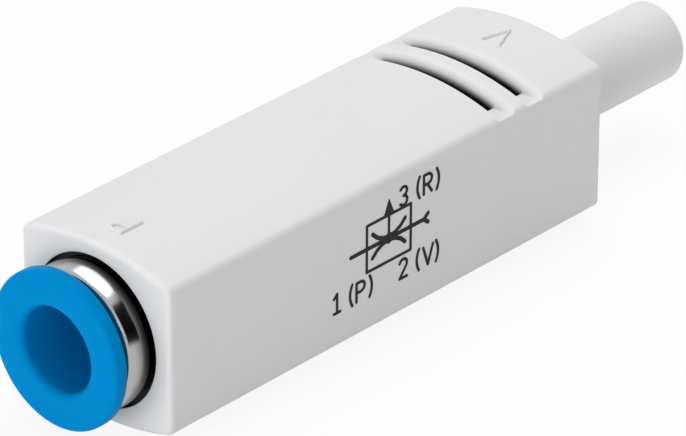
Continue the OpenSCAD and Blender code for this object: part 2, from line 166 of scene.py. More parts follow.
# %% Grey moulded plastic
def moulded_plastic(name, colour, roughness, grain_mm=0.12, grain_depth_mm=0.004, cloud_mm=9,
                    roughness_spread=0.04, tint=0.02):
    """A plastic from a spark-eroded mould. The tint says how far its colour strays."""
    material, tree, shader, place = new_material(name)
    grain = add(tree, "TexNoise", Vector=place, Scale=1 / (grain_mm * MM), Detail=2.0,
                Roughness=0.6)
    cloud = add(tree, "TexNoise", Vector=place, Scale=1 / (cloud_mm * MM), Detail=2.0)
    base = linear(colour)
    light = [min(1.0, v * (1 + tint)) for v in base[:3]] + [1.0]
    dark = [v * (1 - tint) for v in base[:3]] + [1.0]
    shade = add(tree, "Mix", {"data_type": "RGBA"}, _0=cloud.outputs["Fac"], _6=dark, _7=light)
    rough = add(tree, "MapRange", Value=grain.outputs["Fac"], To_Min=roughness - roughness_spread,
                To_Max=roughness + roughness_spread)
    bump = add(tree, "Bump", Strength=0.5, Distance=grain_depth_mm * MM,
               Height=grain.outputs["Fac"])
    tree.links.new(shade.outputs[2], shader.inputs["Base Color"])
    tree.links.new(rough.outputs["Result"], shader.inputs["Roughness"])
    tree.links.new(bump.outputs["Normal"], shader.inputs["Normal"])
    set_inputs(shader, IOR=1.5, Specular_IOR_Level=0.35)
    return material


housing_plastic = moulded_plastic("grey moulded PBT", "#DFDFDF", roughness=0.55)
spigot_plastic = moulded_plastic("grey moulded PBT insert", "#E2E2E2", roughness=0.48)
print("plastics:", housing_plastic.name, "and", spigot_plastic.name)

# %% [markdown]
# ## Blue acetal
#
# The release ring is moulded in acetal (POM) with a blue pigment. Acetal is slightly waxy: light
# goes a fraction of a millimetre into it, so edges look soft, and the surface has a silky gloss. A
# little subsurface scattering gives that softness, and a fairly low roughness keeps the gloss.


# %% Blue acetal
def blue_acetal(ripple_mm=0.6, ripple_depth_mm=0.004):
    """Acetal with a silky gloss that varies in faint ripples."""
    material, tree, shader, place = new_material("blue acetal")
    ripple = add(tree, "TexNoise", Vector=place, Scale=1 / (ripple_mm * MM), Detail=3.0)
    rough = add(tree, "MapRange", Value=ripple.outputs["Fac"], To_Min=0.28, To_Max=0.42)
    bump = add(tree, "Bump", Strength=0.25, Distance=ripple_depth_mm * MM,
               Height=ripple.outputs["Fac"])
    tree.links.new(rough.outputs["Result"], shader.inputs["Roughness"])
    tree.links.new(bump.outputs["Normal"], shader.inputs["Normal"])
    set_inputs(shader, Base_Color=linear("#0085C7"), IOR=1.48, Specular_IOR_Level=0.01,
               Subsurface_Weight=0.12, Subsurface_Radius=(0.2, 0.6, 1.0),
               Subsurface_Scale=0.4 * MM)
    return material


ring_plastic = blue_acetal()
print("ring plastic:", ring_plastic.name)

# %% [markdown]
# ## Nickel on brass
#
# The fitting's sleeve is turned from brass and nickel plated. Nickel is a slightly warm,
# mirror-like white metal. The turning tool leaves very fine rings around the axis, which the
# plating follows, so reflections are drawn out a little along the sleeve. The rings are about
# 0.06 mm apart and run around the Y axis, so the pattern is a wave along Y.
#
# Where the sleeve dips into the housing, it stands in the shade of its own recess and mirrors the
# dark gap. That shade and dark reflection are painted into the metal's colour along Y.

# %% Nickel-plated brass and stainless steel
wave_length = 2 * pi / 20  # a wave texture of scale 1 repeats at this distance


def turned_metal(name, colour, roughness, ring_mm, ring_depth_mm, smudge_mm=1.8):
    """A metal with the fine rings that a turning tool leaves, and faint smudges."""
    material, tree, shader, place = new_material(name)
    rings = add(tree, "TexWave", {"wave_type": "BANDS", "bands_direction": "Y"}, Vector=place,
                Scale=wave_length / (ring_mm * MM), Distortion=1.5, Detail=2.0)
    smudge = add(tree, "TexNoise", Vector=place, Scale=1 / (smudge_mm * MM), Detail=4.0)
    rough = add(tree, "MapRange", Value=smudge.outputs["Fac"], To_Min=roughness * 0.7,
                To_Max=roughness * 1.5)
    bump = add(tree, "Bump", Strength=0.3, Distance=ring_depth_mm * MM, Height=rings.outputs["Fac"])
    tree.links.new(rough.outputs["Result"], shader.inputs["Roughness"])
    tree.links.new(bump.outputs["Normal"], shader.inputs["Normal"])
    set_inputs(shader, Base_Color=linear(colour), Metallic=1.0)
    return material


def shade_end(material, clear, dark, colour):
    """Paints shade into a metal: a darker colour mixed in from one station along Y, in mm, to
    another.
    """
    tree = material.node_tree
    shader = tree.nodes["Principled BSDF"]
    place = tree.nodes["Texture Coordinate"].outputs["Object"]
    along = add(tree, "SeparateXYZ", Vector=place).outputs["Y"]
    amount = add(tree, "MapRange", {"interpolation_type": "SMOOTHSTEP"}, Value=along,
                 From_Min=clear * MM, From_Max=dark * MM).outputs["Result"]
    own_colour = shader.inputs["Base Color"].default_value[:]
    mixed = add(tree, "Mix", {"data_type": "RGBA"}, _0=amount, _6=own_colour, _7=linear(colour))
    tree.links.new(mixed.outputs[2], shader.inputs["Base Color"])


nickel = turned_metal("nickel plating on turned brass", "#AFAFAE", roughness=0.165,
                      ring_mm=0.06, ring_depth_mm=0.002)
# Painted shade and painted dark reflection where the sleeve dips into the housing's recess.
shade_end(nickel, clear=-1.6, dark=-0.4, colour="#262627")
stainless = turned_metal("stainless spring steel", "#C9CACC", roughness=0.22,
                         ring_mm=0.10, ring_depth_mm=0.001)
aluminium = turned_metal("turned aluminium", "#D0D2D4", roughness=0.30,
                         ring_mm=0.08, ring_depth_mm=0.003)
print("metals:", ", ".join(m.name for m in (nickel, stainless, aluminium)))

# %% [markdown]
# ## Rubber, dark plastic and ink
#
# The seals are nitrile rubber: black, matt, with a dusty bloom that lightens them a little. The
# receiver nozzle and the claw's support ring are dark glass-filled plastic. The symbol on the side
# is pad printed: a thin black ink film, smooth but hardly shiny.


# %% Rubber, dark plastic and ink
def speckled(name, dark, light, roughness, speck_mm, depth_mm):
    """A dark material whose colour and height vary in small specks."""
    material, tree, shader, place = new_material(name)
    speck = add(tree, "TexNoise", Vector=place, Scale=1 / (speck_mm * MM), Detail=3.0,
                Roughness=0.7)
    shade = add(tree, "Mix", {"data_type": "RGBA"}, _0=speck.outputs["Fac"], _6=linear(dark),
                _7=linear(light))
    bump = add(tree, "Bump", Strength=0.4, Distance=depth_mm * MM, Height=speck.outputs["Fac"])
    tree.links.new(shade.outputs[2], shader.inputs["Base Color"])
    tree.links.new(bump.outputs["Normal"], shader.inputs["Normal"])
    set_inputs(shader, Roughness=roughness, IOR=1.5)
    return material


rubber = speckled("nitrile rubber", "#0E0E0F", "#232324", roughness=0.7,
                  speck_mm=0.15, depth_mm=0.006)
dark_plastic = speckled("dark glass-filled plastic", "#26262A", "#3A3B3E", roughness=0.45,
                        speck_mm=0.2, depth_mm=0.004)
ink = speckled("pad printing ink", "#08090A", "#17191B", roughness=0.5,
               speck_mm=0.25, depth_mm=0.002)
set_inputs(ink.node_tree.nodes["Principled BSDF"], Specular_IOR_Level=0.2)
print("dark materials:", ", ".join(m.name for m in (rubber, dark_plastic, ink)))

# %% [markdown]
# ## The pieces that keep their construction shape
#
# The printed symbol and the pieces deep inside are shown as the construction model has them, so
# they only take a finish. Their meshes are left alone.

# %% Give those pieces their finish
node_finish = {
    "port_marking": ink,
    "claw_support_ring": dark_plastic,
    "retaining_claw": stainless,
    "tube_seal": rubber,
    "jet_nozzle": aluminium,
    "jet_nozzle_o_ring": rubber,
    "receiver_nozzle": dark_plastic,
    "receiver_nozzle_o_ring": rubber,
    "spigot_o_ring": rubber,
}
for node, finish in node_finish.items():
    mesh = frame["nodes"][node].data
    mesh.materials.clear()
    mesh.materials.append(finish)
print("finished as they are:", len(node_finish))

# %% [markdown]
# ## Modelling helpers
#
# Most pieces of a fitting are turned: a flat outline swung once around the axis. `turned` takes
# that outline as (radius, station, corner radius) points, rounds each corner by its own radius, and
# lets the spin operator make the surface.


# %% Outline and spin helpers
def rounded(outline, steps=6):
    """The outline's points with each corner replaced by an arc of that corner's radius."""
    points = []
    for i, (r, y, radius) in enumerate(outline):
        corner = Vector((r, y))
        before = Vector(outline[i - 1][:2]) - corner
        after = Vector(outline[(i + 1) % len(outline)][:2]) - corner
        if not radius:
            points.append(corner)
            continue
        opening = before.angle(after)
        reach = radius / tan(opening / 2)
        start = corner + before.normalized() * reach
        end = corner + after.normalized() * reach
        inwards = (before.normalized() + after.normalized()).normalized()
        middle = corner + inwards * radius / sin(opening / 2)
        for k in range(steps + 1):
            spoke = (start - middle).lerp(end - middle, k / steps)
            points.append(middle + spoke.normalized() * radius)
    return points


def turned(outline, segments=128):
    """A bmesh of the outline swung once around the Y axis."""
    bm = bmesh.new()
    ring = [bm.verts.new((p.x, p.y, 0)) for p in rounded(outline)]
    edges = [bm.edges.new((ring[i - 1], ring[i])) for i in range(len(ring))]
    bmesh.ops.spin(bm, geom=ring + edges, cent=(0, 0, 0), axis=(0, 1, 0), angle=2 * pi,
                   steps=segments, use_merge=True)
    bmesh.ops.remove_doubles(bm, verts=bm.verts, dist=1e-4)
    bmesh.ops.recalc_face_normals(bm, faces=bm.faces)
    return bm


def box_between(low, high):
    """A bmesh box between two corners."""
    bm = bmesh.new()
    bmesh.ops.create_cube(bm, size=1.0)
    bmesh.ops.scale(bm, vec=Vector(high) - Vector(low), verts=bm.verts)
    bmesh.ops.translate(bm, vec=(Vector(low) + Vector(high)) / 2, verts=bm.verts)
    return bm


# %% [markdown]
# `cut` takes one shape out of another with a Boolean. A Boolean leaves the vertices, edges and
# faces in an order that changes from run to run, and the operators that come after it give a
# slightly different mesh for each order. So each cut mesh is put in order by where its elements
# are, and the script makes the same mesh every time.
#
# `to_piece` scales a finished piece to metres, marks the edges that should stay crisp, and hands
# the piece to the body it moves with.


# %% Object, cut and finishing helpers
def in_scene(name, data):
    """A new object of the scene that shows a mesh, a curve, a light or a camera."""
    obj = bpy.data.objects.new(name, data)
    bpy.context.scene.collection.objects.link(obj)
    return obj


def to_object(bm, name):
    """The bmesh as an object that is still in millimetres."""
    mesh = bpy.data.meshes.new(name)
    bm.to_mesh(mesh)
    bm.free()
    return in_scene(name, mesh)


def baked(obj):
    """The object's mesh with all of its modifiers applied. The object itself is removed."""
    bpy.context.view_layer.update()
    graph = bpy.context.evaluated_depsgraph_get()
    mesh = bpy.data.meshes.new_from_object(obj.evaluated_get(graph))
    bpy.data.objects.remove(obj)
    return mesh


def middle_of(element):
    """The middle of a vertex, an edge or a face, rounded so that two runs agree on it."""
    verts = getattr(element, "verts", [element])
    return [round(sum(v.co[axis] for v in verts) / len(verts), 4) for axis in range(3)]


def put_in_order(mesh):
    """Sorts the vertices, edges and faces of a mesh by where they are."""
    bm = bmesh.new()
    bm.from_mesh(mesh)
    for elements in (bm.verts, bm.edges, bm.faces):
        for index, element in enumerate(sorted(elements, key=middle_of)):
            element.index = index
        elements.sort()
    bm.to_mesh(mesh)
    bm.free()


def cut(obj, cutter):
    """Cuts one object's shape out of another for good."""
    modifier = obj.modifiers.new("cut", "BOOLEAN")
    modifier.operation = "DIFFERENCE"
    modifier.solver = "EXACT"
    modifier.object = cutter
    name = obj.name
    obj.name = name + "_uncut"
    mesh = baked(obj)
    bpy.data.objects.remove(cutter)
    put_in_order(mesh)
    return in_scene(name, mesh)


def to_piece(obj, body, finish, replaced, crisp_degrees=35):
    """Finishes a piece modelled in millimetres, and lets it stand for a construction node."""
    name = obj.name
    obj.name = name + "_mm"
    mesh = baked(obj)
    mesh.name = name
    mesh.transform(Matrix.Scale(MM, 4))
    mesh.shade_smooth()
    mesh.set_sharp_from_angle(angle=radians(crisp_degrees))
    mesh.materials.clear()
    mesh.materials.append(finish)
    piece = in_scene(name, mesh)
    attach(piece, body)
    if replaced:
        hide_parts(replaced)
    print(name, "faces:", len(mesh.polygons))


# %% [markdown]
# ## The housing's block
#
# The housing is one moulding: flat sides, and a top and bottom that are crowned like the lid of a
# chest. It could be drawn as an outline and pulled, but a cube shows better how a modeller thinks:
# its cross edges are subdivided, every new vertex is lifted onto the crown's circle, and bevels
# round the four long edges and the edges around both ends.
#
# The lift moves vertices without telling the faces, so their normals still point straight up.
# `dissolve_limit` joins faces whose normals agree, and would join the whole crown. That is why the
# normals are updated between the two.

# %% Measure the housing and its crown
housing_low, housing_high = box_mm("housing")
half_width = housing_high.x
half_height = -housing_low.z
body_length = housing_high.y
crown_rise = 1.15
crown_radius = (half_width ** 2 + crown_rise ** 2) / (2 * crown_rise)
crown_centre = half_height - crown_radius


def crown_height(x):
    """Height of the crowned top over the ports' axis, at a distance x from the middle."""
    return crown_centre + sqrt(crown_radius ** 2 - x ** 2)


print("housing: %.1f x %.1f x %.1f mm" % (2 * half_width, body_length, 2 * half_height))

# %% Lift the crown and round the block's edges
crown_strips = 16
flat_angle = radians(0.2)
near = 1e-3
long_edge_radius = 0.62
front_edge_radius = 0.4
rear_edge_radius = 0.15

bm = bmesh.new()
bmesh.ops.create_cube(bm, size=1.0)
bmesh.ops.scale(bm, vec=(2 * half_width, body_length, 2 * (half_height - crown_rise)),
                verts=bm.verts)
bmesh.ops.translate(bm, vec=(0, body_length / 2, 0), verts=bm.verts)
cross_edges = [e for e in bm.edges if abs((e.verts[0].co - e.verts[1].co).x) > half_width]
bmesh.ops.subdivide_edges(bm, edges=cross_edges, cuts=crown_strips - 1, use_grid_fill=True)
for vert in bm.verts:
    vert.co.z = crown_height(vert.co.x) * (1 if vert.co.z > 0 else -1)
bm.normal_update()
bmesh.ops.dissolve_limit(bm, angle_limit=flat_angle, verts=bm.verts, edges=bm.edges)
corner_angle = pi / 2 + asin(half_width / crown_radius)
long_edges = [e for e in bm.edges if abs((e.verts[0].co - e.verts[1].co).y) > body_length / 2
              and abs(e.verts[0].co.x) > half_width - 0.01]
bmesh.ops.bevel(bm, geom=long_edges, offset=long_edge_radius / tan(corner_angle / 2), segments=8,
                profile=0.5, affect="EDGES", material=-1)
for end, radius in ((0, front_edge_radius), (body_length, rear_edge_radius)):
    end_edges = [e for e in bm.edges if e.calc_face_angle(0) > radians(60)
                 and all(abs(v.co.y - end) < near for v in e.verts)]
    bmesh.ops.bevel(bm, geom=end_edges, offset=radius, segments=5, profile=0.5, affect="EDGES",
                    material=-1)
block = to_object(bm, "housing_block")
print("faces of the block:", len(block.data.polygons))

# %% [markdown]
# ## Bores
#
# On the real moulding the air's way is a row of stepped bores, each narrower than the one before,
# so that one steel core pin can be pulled out of the mould. Here the pin is an outline that is spun
# into a solid and cut out of the block. Each step's place comes from the piece that sits in it.

# %% Measure the pieces inside and the bores that hold them
sleeve_low, sleeve_high = box_mm("cartridge_sleeve")
_, seal_high = box_mm("tube_seal")
jet_low, jet_high = box_mm("jet_nozzle")
receiver_low, receiver_high = box_mm("receiver_nozzle")
spigot_low, spigot_high = box_mm("vacuum_spigot")
seal_room = 0.15
nozzle_play = 0.03
insert_play = 0.02
jet_body_length = 6.1
jet_shoulder = 0.25
receiver_overlap = 0.7
receiver_shoulder = 0.4
recess_gap = 0.26
recess_depth = 0.6
recess_radius = sleeve_high.x + recess_gap
cartridge_radius = seal_high.x
cartridge_end = seal_high.y + seal_room
pocket_radius = jet_high.x + nozzle_play
jet_seat = jet_low.y + jet_body_length
chamber_radius = pocket_radius - jet_shoulder
chamber_end = receiver_low.y + receiver_overlap
receiver_bore_radius = receiver_high.x + nozzle_play
exhaust_radius = receiver_bore_radius - receiver_shoulder
port_radius = spigot_high.x + insert_play
print("jet's seat at %.1f mm, chamber up to %.1f mm" % (jet_seat, chamber_end))

# %% Place the exhaust slots and the vacuum port behind them
slot_pitch = 2.95
slot_width = 1.2
front_wall = 0.9
side_wall = 1.72
port_wall = 1.95
first_slot = receiver_high.y + front_wall
slots = [first_slot, first_slot + slot_pitch]
slots_end = slots[-1] + slot_width
shaft_half = half_width - side_wall
port_start = slots_end + port_wall
print("slots at", ", ".join("%.2f" % station for station in slots), "mm")

# %% Cut the stepped air bore and the vacuum port
overshoot = 1.0
steps = [
    (recess_radius, recess_depth), (cartridge_radius, cartridge_end), (pocket_radius, jet_seat),
    (chamber_radius, chamber_end), (receiver_bore_radius, receiver_high.y),
    (exhaust_radius, slots_end),
]
pin = [(0, -overshoot, 0)]
start = -overshoot
for radius, end in steps:
    pin += [(radius, start, 0), (radius, end, 0)]
    start = end
pin.append((0, start, 0))
block = cut(block, to_object(turned(pin, segments=96), "air_bore"))

port_pin = [(0, port_start, 0), (port_radius, port_start, 0),
            (port_radius, body_length + overshoot, 0), (0, body_length + overshoot, 0)]
block = cut(block, to_object(turned(port_pin, segments=96), "port_bore"))
print("faces with the bores:", len(block.data.polygons))

# %% [markdown]
# The vacuum has to get past the receiver nozzle, from the chamber to the spigot. A narrow channel
# below the nozzle's bore does that, and a window joins it to the chamber.

# %% Cut the channel and its window
channel_radius = 1.05
channel_wall = 0.75
channel_front_wall = 0.8
channel_height = -receiver_bore_radius - channel_wall - channel_radius
channel_start = jet_seat + channel_front_wall
channel_pin = [(0, channel_start, 0), (channel_radius, channel_start, 0),
               (channel_radius, port_start + overshoot, 0), (0, port_start + overshoot, 0)]
channel = turned(channel_pin, segments=48)
bmesh.ops.translate(channel, vec=(0, 0, channel_height), verts=channel.verts)
block = cut(block, to_object(channel, "channel"))

window_half = channel_radius * 0.7
window = box_between((-window_half, channel_start, channel_height), (window_half, chamber_end, 0))
block = cut(block, to_object(window, "window"))
print("faces with the channel:", len(block.data.polygons))

# %% [markdown]
# ## The shade inside
#
# The housing's slots and the gap around its sleeve are deep and narrow, so they lie in deep shade.
# That shade is painted into the plastic's colour, a darker colour mixed in by depth. In the
# slots, depth is the distance below the crown, which is a circle about a line along Y. In the gap,
# it is the distance behind the front face.


# %% Painted shade inside a piece
def paint_shade_inside(material, crown_centre, places, colour):
    """Paints shade into a plastic: a darker colour mixed into its own.

    A place is a list of windows (distance, shut, opened) in mm, and it is dark where all are open.
    """
    tree = material.node_tree
    shader = tree.nodes["Principled BSDF"]
    own_colour = shader.inputs["Base Color"].links[0].from_socket
    place = tree.nodes["Texture Coordinate"].outputs["Object"]
    measured = add(tree, "SeparateXYZ", Vector=place).outputs
    section = add(tree, "VectorMath", {"operation": "MULTIPLY"}, _0=place, _1=(1, 0, 1))
    section = section.outputs["Vector"]
    spoke = add(tree, "VectorMath", {"operation": "SUBTRACT"}, _0=section,
                _1=(0, 0, crown_centre * MM))
    distances = {
        "across": add(tree, "Math", {"operation": "ABSOLUTE"}, _0=measured["X"]).outputs[0],
        "along": measured["Y"],
        "height": measured["Z"],
        "from bore": add(tree, "VectorMath", {"operation": "LENGTH"}, _0=section).outputs["Value"],
        "from crown's axis": add(tree, "VectorMath", {"operation": "LENGTH"},
                                 _0=spoke.outputs["Vector"]).outputs["Value"],
    }
    inside = 0.0
    for windows in places:
        mask = 1.0
        for distance, shut, opened in windows:
            window = add(tree, "MapRange", {"interpolation_type": "SMOOTHSTEP"},
                         Value=distances[distance], From_Min=shut * MM, From_Max=opened * MM)
            mask = add(tree, "Math", {"operation": "MULTIPLY"}, _0=mask,
                       _1=window.outputs["Result"]).outputs[0]
        inside = add(tree, "Math", {"operation": "MAXIMUM"}, _0=inside, _1=mask).outputs[0]
    mixed = add(tree, "Mix", {"data_type": "RGBA"}, _0=inside, _6=own_colour, _7=linear(colour))
    tree.links.new(mixed.outputs[2], shader.inputs["Base Color"])


# %% [markdown]
# A window opens smoothly between two distances, and a place is dark where all of its windows are
# open. The last window of the slots keeps the shade off the bore's floor, and the last one of the
# gap ends it long before the slots.

# %% Paint shade into the slots and the gap around the sleeve
in_slots = [
    ("from crown's axis", crown_radius - 0.3, crown_radius - 0.85),
    ("across", shaft_half + 0.1, shaft_half),
    ("along", slots[0] - 0.2, slots[0]),
    ("along", slots_end + 0.2, slots_end),
    ("height", -3.5, -2.5),
]
in_gap = [
    ("from bore", recess_radius + 0.06, recess_radius),
    ("along", 0.02, 0.3),
    ("along", slots[0] - 1, slots[0] - 2),
]
painted_shade_places = [in_slots, in_gap]
# Painted shade: a near-black colour mixed into the plastic deep in the slots and in the gap.
paint_shade_inside(housing_plastic, crown_centre, painted_shade_places, "#18191A")
print("places with their own shade:", len(painted_shade_places))

# %% [markdown]
# ## The exhaust slots
#
# Two slots let the air out across the top. Each is a groove with a flat floor that runs out at both
# side edges, and a shaft in its middle that goes down to the bore. Its front lip is only just
# softened. Its rear edge is rounded, so the jet of air bends away without whistling, and the
# rounding follows the crown. The groove's cutter starts as a flat section. The spin operator, with
# a step to the side and no angle, repeats it across the housing. Then each copy is lifted with the
# crown, but nothing goes below the groove's floor.

# %% The cutter of one groove
floor_depth = 0.15
slot_floor = half_height - crown_rise - floor_depth
above = 1.0
lead_radius = 0.95
lead_crest = 0.015
lead_steps = 10
groove_reach = half_width + 0.4
groove_strips = 32


def groove(station):
    """The solid that a slot's groove leaves, from side to side."""
    rear = station + slot_width
    section = [(station, above), (station, -half_height), (rear, -half_height)]
    for k in range(lead_steps + 1):
        turn = pi / 2 * k / lead_steps
        section.append((rear + lead_radius * (1 - cos(turn)),
                        lead_crest - lead_radius * (1 - sin(turn))))
    section.append((rear + lead_radius, above))
    bm = bmesh.new()
    side = [bm.verts.new((-groove_reach, y, z)) for y, z in section]
    edges = [bm.edges.new((side[i - 1], side[i])) for i in range(len(side))]
    bmesh.ops.spin(bm, geom=side + edges, axis=(1, 0, 0), angle=0,
                   dvec=(2 * groove_reach / groove_strips, 0, 0), steps=groove_strips)
    bmesh.ops.holes_fill(bm, edges=[e for e in bm.edges if e.is_boundary])
    for vert in bm.verts:
        vert.co.z = max(slot_floor, crown_height(vert.co.x) + vert.co.z)
    bmesh.ops.remove_doubles(bm, verts=bm.verts, dist=1e-4)
    bmesh.ops.recalc_face_normals(bm, faces=bm.faces)
    return bm


# %% Cut the grooves and their shafts
shaft_overlap = 0.2
for station in slots:
    block = cut(block, to_object(groove(station), "groove"))
    shaft = box_between((-shaft_half, station, -receiver_bore_radius),
                        (shaft_half, station + slot_width, slot_floor + shaft_overlap))
    block = cut(block, to_object(shaft, "shaft"))
print("faces with the slots:", len(block.data.polygons))

# %% [markdown]
# No moulded edge is quite sharp, so a tiny bevel softens the slots' front lips and the rim of the
# recess. Then a few planes slice the skin just beside each rounding. They don't change the shape,
# but smooth shading bends over a whole face, and beside a rounding it would bend over the long flat
# ones in streaks. A narrow strip takes up the bend, and the faces behind it stay flat.

# %% Soften the lips and support the roundings
lip_softness = 0.06
lip_depth = 0.2
support_gap = 0.25

bm = bmesh.new()
bm.from_mesh(block.data)
bmesh.ops.remove_doubles(bm, verts=bm.verts, dist=1e-4)
bmesh.ops.dissolve_limit(bm, angle_limit=flat_angle, verts=bm.verts, edges=bm.edges)
lip_edges = [
    e for e in bm.edges for station in slots
    if all(abs(v.co.y - station) < near and v.co.z > slot_floor + lip_depth
           and abs(v.co.z - crown_height(v.co.x)) < lip_depth for v in e.verts)
]
rim_edges = [
    e for e in bm.edges
    if all(abs(v.co.y) < near and abs(v.co.xz.length - recess_radius) < 10 * near for v in e.verts)
]
for edges in (lip_edges, rim_edges):
    print("edges softened:", len(edges))
    bmesh.ops.bevel(bm, geom=edges, offset=lip_softness, segments=2, profile=0.5, affect="EDGES",
                    material=-1, clamp_overlap=True)
bmesh.ops.remove_doubles(bm, verts=bm.verts, dist=1e-4)

roundings = [(0, front_edge_radius), (body_length - rear_edge_radius, body_length)]
roundings += [(station, station + slot_width + lead_radius) for station in slots]
supports = [((0, y, 0), (0, 1, 0)) for start, end in roundings
            for y in (start - support_gap, end + support_gap) if 0 < y < body_length]
flat_side = half_height - crown_rise - long_edge_radius - support_gap
supports += [((0, 0, z), (0, 0, 1)) for z in (-flat_side, flat_side)]
for point, normal in supports:
    bmesh.ops.bisect_plane(bm, geom=bm.verts[:] + bm.edges[:] + bm.faces[:], dist=1e-4,
                           plane_co=point, plane_no=normal)
block.data = bpy.data.meshes.new("housing_block")
bm.to_mesh(block.data)
bm.free()
block.name = "housing_moulding"
to_piece(block, "housing", housing_plastic, "housing", crisp_degrees=20)

# %% [markdown]
# ## Raised letters
#
# Each port's letter stands out of the crown by a fifth of a millimetre. On the mould such a letter
# is a groove made by a small ball cutter, so its section is a rounded ridge. A curve that runs
# along the letter's strokes with a round section gives exactly that ridge, once half of it lies in
# the plastic. The letters read from the housing's rear, so their tops point to the front.

# %% Draw the letters as ridges on the crown
def ridge_letter(name, station, strokes, stroke_width=0.32, proud=0.19):
    """A letter on the crown. Strokes are lists of (x, height); its foot is at the station."""
    data = bpy.data.curves.new(name, "CURVE")
    data.dimensions = "3D"
    data.bevel_depth = stroke_width / 2
    data.bevel_resolution = 3
    data.use_fill_caps = True
    for points in strokes:
        spline = data.splines.new("POLY")
        spline.points.add(len(points) - 1)
        for point, (x, height) in zip(spline.points, points):
            point.co = (x, station - height, crown_height(x) + proud - stroke_width / 2, 1)
    to_piece(in_scene(name, data), "housing", housing_plastic, None)


def bowl(x, height, radius, steps=8):
    """The round end of a P, from its top to its bottom."""
    return [(x - radius * sin(pi * k / steps), height + radius * cos(pi * k / steps))
            for k in range(steps + 1)]


p_foot, p_height = 4.1, 2.0
stem_x, bowl_x, bowl_radius = 0.4, -0.35, 0.44
outline_p = [(stem_x, 0), (stem_x, p_height)]
outline_p += bowl(bowl_x, p_height - bowl_radius, bowl_radius)
outline_p.append((stem_x, p_height - 2 * bowl_radius))
ridge_letter("letter_p", p_foot, [outline_p])

v_foot, v_height = 41.2, 2.2
v_left, v_tip, v_right = -0.6, 0.05, 0.92
ridge_letter("letter_v", v_foot, [[(v_left, v_height), (v_tip, 0), (v_right, v_height)]])

# %% [markdown]
# ## The push-in fitting
#
# The sleeve is turned, so it is one outline swung around the axis. Its front half is a shallow cone
# and its rear half a cylinder that turns in towards the gap, where it mirrors only the dark. The
# front edge is rounded and catches a thin line of light.

# %% Turn the nickel-plated sleeve
claw_low, claw_high = box_mm("retaining_claw")
shank_wall, shank_play = 0.8, 0.08
lip_length, lip_height = 0.9, 0.37
fit_play = 0.05
cone_drop = 0.25
cone_end, turn_in = -0.95, -0.3
bore_radius = mount_mm("supply_port", "r_mm")
shank_radius = bore_radius + shank_wall
lip_radius = shank_radius + shank_play
lip_back = sleeve_low.y + lip_length
cavity_radius = lip_radius + lip_height
claw_seat_radius = claw_high.x + fit_play
collar_radius = sleeve_high.x
collar_front = collar_radius - cone_drop
barrel_radius = cartridge_radius - fit_play
sleeve_outline = [
    (lip_radius, sleeve_low.y, 0.12), (collar_front, sleeve_low.y, 0.45),
    (collar_radius, cone_end, 0.8), (collar_radius, turn_in, 0.6),
    (barrel_radius, recess_depth, 0), (barrel_radius, sleeve_high.y, 0),
    (claw_seat_radius, sleeve_high.y, 0), (claw_seat_radius, claw_low.y, 0),
    (cavity_radius, claw_low.y, 0), (cavity_radius, lip_back, 0), (lip_radius, lip_back, 0),
]
sleeve = to_object(turned(sleeve_outline, segments=160), "push_in_sleeve")
to_piece(sleeve, "housing", nickel, "cartridge_sleeve")

# %% [markdown]
# The release ring is moulded with generous radii, because a thumb presses it. Its shank has a bead
# that snaps in behind the sleeve's lip, and slits that let it do so. The ring is round apart from
# those slits, so it is spun as the sleeve is, and two turned boxes cut the slits afterwards.

# %% Turn the release ring and slit its shank
ring_low, ring_high = box_mm("release_ring")
flange_gap = 0.65
bead_gap, bead_play = 0.92, 0.1
nose_wall = 0.36
flange_radius = ring_high.x
flange_back = sleeve_low.y - flange_gap
bead_radius = cavity_radius - bead_play
bead_front = sleeve_low.y + bead_gap
nose_radius = bore_radius + nose_wall
ring_outline = [
    (bore_radius, ring_low.y, 0.62), (flange_radius, ring_low.y, 0.35),
    (flange_radius, flange_back, 0.3), (shank_radius, flange_back, 0),
    (shank_radius, bead_front, 0), (bead_radius, bead_front, 0),
    (bead_radius, bead_front + 0.3, 0.1), (shank_radius, bead_front + 0.9, 0.2),
    (shank_radius, ring_high.y - 1.0, 0.2), (nose_radius, ring_high.y - 0.5, 0.2),
    (nose_radius, ring_high.y, 0.1), (bore_radius, ring_high.y, 0.1),
]
ring = to_object(turned(ring_outline, segments=160), "press_ring")
slit_half = 0.35
slit_front = bead_front - 0.05
slit_turns = (140, 320)
for turn in slit_turns:
    slit = box_between((-slit_half, slit_front, 0), (slit_half, ring_high.y + 1, cavity_radius))
    bmesh.ops.rotate(slit, cent=(0, 0, 0), matrix=Matrix.Rotation(radians(turn), 3, "Y"),
                     verts=slit.verts)
    ring = cut(ring, to_object(slit, "slit"))
to_piece(ring, "release_ring", ring_plastic, "release_ring")

# %% [markdown]
# ## The vacuum spigot
#
# A plain grey tube end with a collar inside the housing. Only its rounded tip and its seam around
# the housing's rear face show that it is a piece of its own. It is round all over, so one spun
# outline makes it, with the groove for its O-ring and the bore for the air.

# %% Turn the spigot
spigot_radius = mount_mm("vacuum_spigot", "r_mm")
spigot_bore = 2.0
seat_low, seat_high = box_mm("spigot_o_ring")
groove_half = 0.6
groove_middle = (seat_low.y + seat_high.y) / 2
groove_floor = seat_high.x - (seat_high.y - seat_low.y)
spigot_outline = [
    (spigot_bore + 0.5, spigot_low.y, 0), (spigot_high.x, spigot_low.y, 0.1),
    (spigot_high.x, groove_middle - groove_half, 0.05),
    (groove_floor, groove_middle - groove_half, 0.05),
    (groove_floor, groove_middle + groove_half, 0.05),
    (spigot_high.x, groove_middle + groove_half, 0.05),
    (spigot_high.x, body_length, 0.08), (spigot_radius, body_length, 0.15),
    (spigot_radius, spigot_high.y, 0.4), (spigot_bore, spigot_high.y, 0.2),
    (spigot_bore, spigot_low.y + 0.5, 0),
]
spigot = to_object(turned(spigot_outline, segments=128), "vacuum_tube_end")
to_piece(spigot, "housing", spigot_plastic, "vacuum_spigot")

